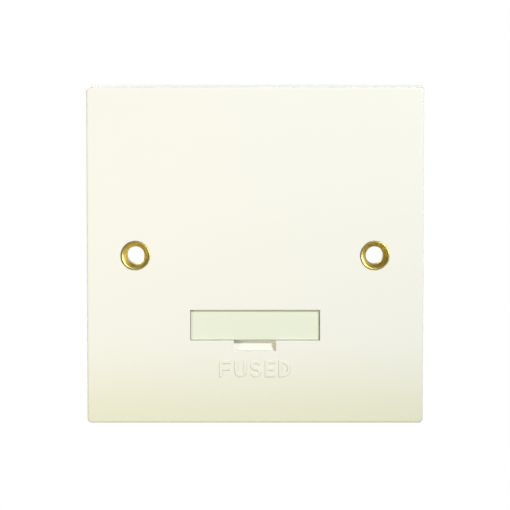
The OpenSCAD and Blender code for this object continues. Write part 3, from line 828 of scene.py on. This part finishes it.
print("dressed:", len(FINISHES), "of", len(frame["nodes"]))

# %% [markdown]
# # The eyelets
#
# A brass eyelet is a drawn tube. A punch flares its front end into a countersink
# with a rolled lip, and curls its rear end over the earth strap. All of it is
# round, and so are the screws' heads and the fuse. A Screw modifier could spin an
# outline about an axis. A short function does the same, and lets a point on the axis
# stay one point, so that no face there has two corners in the same place.

# %% Spin an outline


def spin(outline, steps, closed):
    """A mesh turned about the Y axis from (radius, y) points in millimetres."""
    build = bmesh.new()
    rings = []
    for radius, y in outline:
        if radius == 0:
            middle = build.verts.new((0, y * MM, 0))
            rings.append([middle] * steps)
            continue
        ring = []
        for i in range(steps):
            turn = 2 * math.pi * i / steps
            x = radius * math.cos(turn) * MM
            z = radius * math.sin(turn) * MM
            ring.append(build.verts.new((x, y * MM, z)))
        rings.append(ring)
    pairs = list(zip(rings, rings[1:]))
    if closed:
        pairs.append((rings[-1], rings[0]))
    for low, high in pairs:
        for i in range(steps):
            j = (i + 1) % steps
            corners = []
            for vertex in (low[i], low[j], high[j], high[i]):
                if vertex not in corners:
                    corners.append(vertex)
            if len(corners) > 2:
                build.faces.new(corners)
    bmesh.ops.recalc_face_normals(build, faces=build.faces)
    return build


def finish_piece(name, build, material, body, slot, *nodes):
    mesh = bpy.data.meshes.new(name)
    build.to_mesh(mesh)
    build.free()
    mesh.materials.append(material)
    mesh.shade_smooth()
    piece = bpy.data.objects.new(name, mesh)
    bpy.context.scene.collection.objects.link(piece)
    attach(piece, body)
    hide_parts(*nodes)
    return piece


print("helpers:", spin.__name__, finish_piece.__name__)

# %% [markdown]
# The eyelet's outline runs up the bore, out along the flare, round the lip, back
# down outside the tube and round the curl behind the strap. The main sizes are those
# of the solid, and the points between add the curves that the punch leaves. A bevel
# could round the solid's corners, but points in a list are easier to bend into a
# rolled lip. Each eyelet also joins the collection that the bright card lights.

# %% Flare the eyelets
EYELET_STEPS = 128
EYELET_OUTLINE = [
    (2.2, -2.75), (2.2, -6.7), (2.22, -6.86), (2.28, -7.06), (2.42, -7.36),
    (2.62, -7.72), (2.84, -8.08), (3.02, -8.36), (3.14, -8.52), (3.26, -8.63),
    (3.38, -8.7), (3.48, -8.71), (3.57, -8.68), (3.63, -8.61), (3.65, -8.52),
    (3.62, -8.44), (3.2, -7.6), (2.74, -6.64), (2.7, -6.5), (2.7, -3.2),
    (3.42, -3.2), (3.48, -3.16), (3.5, -3.08), (3.48, -2.98), (3.4, -2.9),
    (3.1, -2.78), (2.7, -2.7), (2.3, -2.7),
]


def eyelet(name, x, node):
    build = spin(EYELET_OUTLINE, EYELET_STEPS, closed=True)
    bmesh.ops.translate(build, verts=build.verts, vec=(x, 0, 0))
    piece = finish_piece(name, build, eyelet_brass, "unit", "brass", node)
    card_lit.objects.link(piece)


eyelet("left_eyelet_flared", -fix_x, "left_eyelet")
eyelet("right_eyelet_flared", fix_x, "right_eyelet")
print("faces in each eyelet:", len(EYELET_OUTLINE) * EYELET_STEPS)

# %% [markdown]
# # The clamping screws
#
# A screw thread is a helix: walk along the shank while turning, and the radius
# rises and falls once for every pitch. So each ring of the shank is turned a
# little further than the last in its height pattern. A real helix costs more faces
# than a bump map, but it shows in the outline, and the point tapers as a cut end does.

# %% Cut a thread
screw_low, screw_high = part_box("left_earth_screw")
SCREW_RADIUS = 1.75
THREAD_ROOT = 1.42
PITCH = 0.6
FLANK = 1.3
END_DROP = 0.15
END_TAPER = 0.9
HEAD_LENGTH = 2.1
SHANK_STEPS = 32
RINGS_PER_PITCH = 8
SHANK_START = screw_low.y / MM
SHANK_END = screw_high.y / MM - HEAD_LENGTH


def thread_radius(y, turn):
    """Radius of the thread at a place along the shank and a turn in radians."""
    phase = (y / PITCH + turn / (2 * math.pi)) % 1
    rise = 1 - abs(2 * phase - 1)
    full = THREAD_ROOT + (SCREW_RADIUS - THREAD_ROOT) * min(1, FLANK * rise)
    start = THREAD_ROOT - END_DROP + (y - SHANK_START) * END_TAPER
    return min(full, start)


def threaded_shank(build):
    count = round((SHANK_END - SHANK_START) / PITCH * RINGS_PER_PITCH)
    rings = []
    for k in range(count + 1):
        y = SHANK_START + (SHANK_END - SHANK_START) * k / count
        ring = []
        for i in range(SHANK_STEPS):
            turn = 2 * math.pi * i / SHANK_STEPS
            radius = thread_radius(y, turn)
            x = radius * math.cos(turn) * MM
            z = radius * math.sin(turn) * MM
            ring.append(build.verts.new((x, y * MM, z)))
        rings.append(ring)
    for low, high in zip(rings, rings[1:]):
        for i in range(SHANK_STEPS):
            j = (i + 1) % SHANK_STEPS
            build.faces.new((low[i], low[j], high[j], high[i]))
    build.faces.new(rings[0])


print("shank from", round(SHANK_START, 2), "to", round(SHANK_END, 2), "mm")

# %% [markdown]
# The head is turned too, and a saw cuts its slot. A boolean could cut it here, but
# it leaves long thin faces. Instead the head is spun only up to the slot's floor, and
# two raised lands, each a little less than half a disc, stand on it with the slot
# between them. The land's upper edge is rounded in a few steps.

# %% Turn the slotted head
HEAD_RADIUS = 2.9
HEAD_END = SHANK_END + HEAD_LENGTH
SLOT_DEPTH = 1.1
SLOT_FLOOR = HEAD_END - SLOT_DEPTH
SLOT_HALF = 0.5
LAND_STEPS = 24
HEAD_STEPS = 64


def land(build, side, radius, half, y):
    """Half a disc beside the slot, as a ring of vertices."""
    first = math.asin(half / radius)
    ring = []
    for i in range(LAND_STEPS + 1):
        turn = first + (math.pi - 2 * first) * i / LAND_STEPS
        x = radius * math.cos(turn) * MM
        z = side * radius * math.sin(turn) * MM
        ring.append(build.verts.new((x, y * MM, z)))
    return ring


def slotted_head(build):
    for side in (-1, 1):
        levels = [
            (HEAD_RADIUS, SLOT_HALF, SLOT_FLOOR),
            (HEAD_RADIUS, SLOT_HALF, HEAD_END - 0.32),
            (HEAD_RADIUS - 0.07, SLOT_HALF, HEAD_END - 0.14),
            (HEAD_RADIUS - 0.2, SLOT_HALF + 0.02, HEAD_END - 0.04),
            (HEAD_RADIUS - 0.36, SLOT_HALF + 0.07, HEAD_END),
        ]
        rings = [land(build, side, *level) for level in levels]
        for low, high in zip(rings, rings[1:]):
            for i in range(len(low)):
                j = (i + 1) % len(low)
                build.faces.new((low[i], low[j], high[j], high[i]))
        build.faces.new(rings[-1])


def add_spun(build, outline, steps):
    """Adds a spun outline to a mesh that is being built."""
    extra = spin(outline, steps, closed=False)
    mesh = bpy.data.meshes.new("spun")
    extra.to_mesh(mesh)
    extra.free()
    build.from_mesh(mesh)
    bpy.data.meshes.remove(mesh)


print("slot:", 2 * SLOT_HALF, "mm wide and", SLOT_DEPTH, "mm deep")

# %% [markdown]
# All six screws are the same. One mesh could be shared by six objects, but here
# each piece keeps its place in its mesh, so one function makes a screw at each
# place, which it reads from the solid's box. Each rides on a body of its own, because
# each is turned in by itself. Only edges that turn sharply are kept sharp.

# %% Fit the clamping screws
SCREW_SHARP = math.radians(40)
UNDER_HEAD = [
    (0, SLOT_FLOOR), (HEAD_RADIUS, SLOT_FLOOR), (HEAD_RADIUS, SHANK_END + 0.15),
    (HEAD_RADIUS - 0.15, SHANK_END), (1.3, SHANK_END),
]


def clamping_screw(node):
    low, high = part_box(node)
    build = bmesh.new()
    threaded_shank(build)
    add_spun(build, UNDER_HEAD, HEAD_STEPS)
    slotted_head(build)
    bmesh.ops.recalc_face_normals(build, faces=build.faces)
    middle = (low + high) / 2
    bmesh.ops.translate(build, verts=build.verts, vec=(middle.x, 0, middle.z))
    body = frame["nodes"][node]["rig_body"]
    piece = finish_piece(node + "_threaded", build, screw_brass, body, "screw_brass", node)
    piece.data.set_sharp_from_angle(angle=SCREW_SHARP)


for node in SCREWS:
    clamping_screw(node)
print("clamping screws:", len(SCREWS))

# %% [markdown]
# # The cartridge fuse
#
# The fuse shows when the carrier is pulled out. It is a standard size, so nothing
# about it is free: its axis, its length and where its caps begin are measured from
# the solids that it stands for.

# %% Measure the fuse
fuse_low, fuse_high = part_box("fuse_barrel")
cap_low, cap_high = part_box("fuse_right_cap")
fuse_y = (fuse_low.y + fuse_high.y) / 2
fuse_z = (fuse_low.z + fuse_high.z) / 2
cap_end = cap_high.x / MM
cap_mouth = cap_low.x / MM
barrel_end = fuse_high.x / MM
print("fuse:", round(2 * cap_end, 1), "mm long")

# %% [markdown]
# The caps are drawn from thin plated sheet, so their outer corners are round and
# their ends dish in slightly where the press held them. They are crimped onto the
# barrel, which leaves a shallow groove. The barrel is a plain glazed tube. Like the
# eyelets they could be bevelled solids, but the dish and the groove are easier to
# place as points of an outline. One outline serves both caps: it is spun about Y,
# and then turned onto the fuse's axis to one side or the other.

# %% Draw the fuse's caps and barrel
CAP_RADIUS = 3.175
BARREL_RADIUS = 2.9
BARREL_BORE = 1.8
BARREL_CHAMFER = 0.1
FUSE_STEPS = 96
FUSE_SHARP = math.radians(50)
CAP_OUTLINE = [
    (0, cap_end - 0.12), (1.2, cap_end - 0.11), (1.9, cap_end - 0.03), (2.3, cap_end),
    (2.8, cap_end - 0.01), (3.0, cap_end - 0.07), (3.12, cap_end - 0.18),
    (CAP_RADIUS, cap_end - 0.36), (CAP_RADIUS, cap_mouth + 1.5),
    (CAP_RADIUS - 0.05, cap_mouth + 1.35), (CAP_RADIUS - 0.09, cap_mouth + 1.2),
    (CAP_RADIUS - 0.05, cap_mouth + 1.05), (CAP_RADIUS, cap_mouth + 0.9),
    (CAP_RADIUS, cap_mouth + 0.08), (CAP_RADIUS - 0.06, cap_mouth),
    (BARREL_RADIUS + 0.02, cap_mouth), (BARREL_RADIUS + 0.02, cap_end - 0.5),
    (0, cap_end - 0.5),
]
BARREL_OUTLINE = [
    (BARREL_BORE, -barrel_end), (BARREL_RADIUS - BARREL_CHAMFER, -barrel_end),
    (BARREL_RADIUS, BARREL_CHAMFER - barrel_end), (BARREL_RADIUS, barrel_end - BARREL_CHAMFER),
    (BARREL_RADIUS - BARREL_CHAMFER, barrel_end), (BARREL_BORE, barrel_end),
]


def along_fuse(build, side):
    """Turns a piece spun about Y onto the fuse's axis, along X."""
    turn = Matrix.Rotation(-side * math.pi / 2, 4, "Z")
    place = Matrix.Translation((0, fuse_y, fuse_z))
    bmesh.ops.transform(build, matrix=place @ turn, verts=build.verts)
    return build


def fuse_piece(name, build, material, slot, node):
    piece = finish_piece(name, build, material, "carrier", slot, node)
    piece.data.set_sharp_from_angle(angle=FUSE_SHARP)


for word, side in (("right", 1), ("left", -1)):
    cap = along_fuse(spin(CAP_OUTLINE, FUSE_STEPS, closed=False), side)
    fuse_piece(f"fuse_{word}_cap_drawn", cap, plated_cap, "plated_cap", f"fuse_{word}_cap")
tube = along_fuse(spin(BARREL_OUTLINE, FUSE_STEPS, closed=True), 1)
fuse_piece("fuse_barrel_glazed", tube, barrel_ceramic, "ceramic", "fuse_barrel")
print("points in the outlines:", len(CAP_OUTLINE), "and", len(BARREL_OUTLINE))
